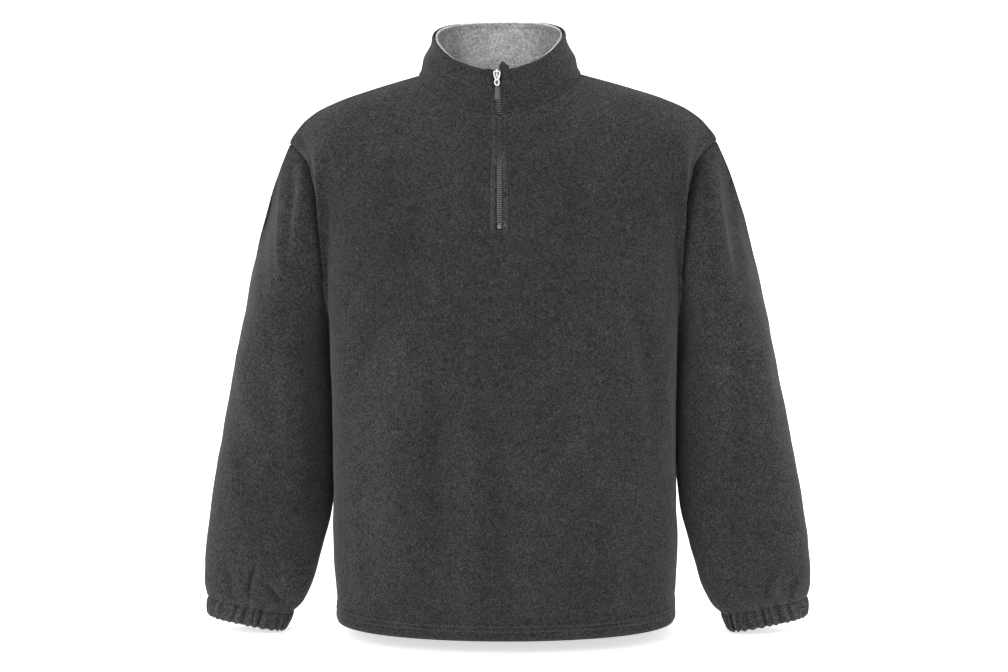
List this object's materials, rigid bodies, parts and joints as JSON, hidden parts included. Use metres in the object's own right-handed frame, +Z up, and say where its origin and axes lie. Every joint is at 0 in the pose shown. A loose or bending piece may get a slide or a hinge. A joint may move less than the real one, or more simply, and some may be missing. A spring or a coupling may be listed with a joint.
{
  "type": "quarter-zip fleece pullover",
  "caption": "Charcoal fleece pullover with a stand collar, short front zip, long sleeves and elastic cuffs, filled out as if worn, hollow and open at neck, hem and cuffs.",
  "frame": {"origin": "midway between the two points where collar and shoulder seams meet, where the shoulders of a wearer hold the garment up", "axes": "+Z up, the front with the zip faces -Y, +X to the right of a viewer who faces the front"},
  "size_m": [0.7868, 0.2662, 0.7857],
  "materials": {
    "charcoal_fleece": "brushed charcoal heather fleece, matte",
    "grey_heather_fleece": "light grey heather fleece, matte",
    "dark_tape": "woven dark grey zip tape",
    "grey_coil": "grey moulded zip coil, satin",
    "silver_metal": "polished silver-coloured cast metal",
    "grey_moulding": "soft grey moulded tab"
  },
  "bodies": {
    "garment": {"front_panel": "charcoal_fleece", "back_panel": "charcoal_fleece", "sleeve_right": "charcoal_fleece", "sleeve_left": "charcoal_fleece", "cuff_right": "charcoal_fleece", "cuff_left": "charcoal_fleece", "collar_outer": "charcoal_fleece", "collar_inner": "grey_heather_fleece", "zip_tape_right": "dark_tape", "zip_tape_left": "dark_tape", "zip_chain": "grey_coil", "zip_bottom_stop": "grey_coil", "zip_slider": "silver_metal"},
    "pull": {"zip_pull": "silver_metal", "zip_pull_tab": "grey_moulding"}
  },
  "joints": [
    {"name": "pull_swing", "type": "hinge", "parent": "garment", "child": "pull", "pos_m": [-0.00296, -0.07617, 0.00012], "axis": [-1, 0, 0], "range_deg": [-3, 165]}
  ]
}
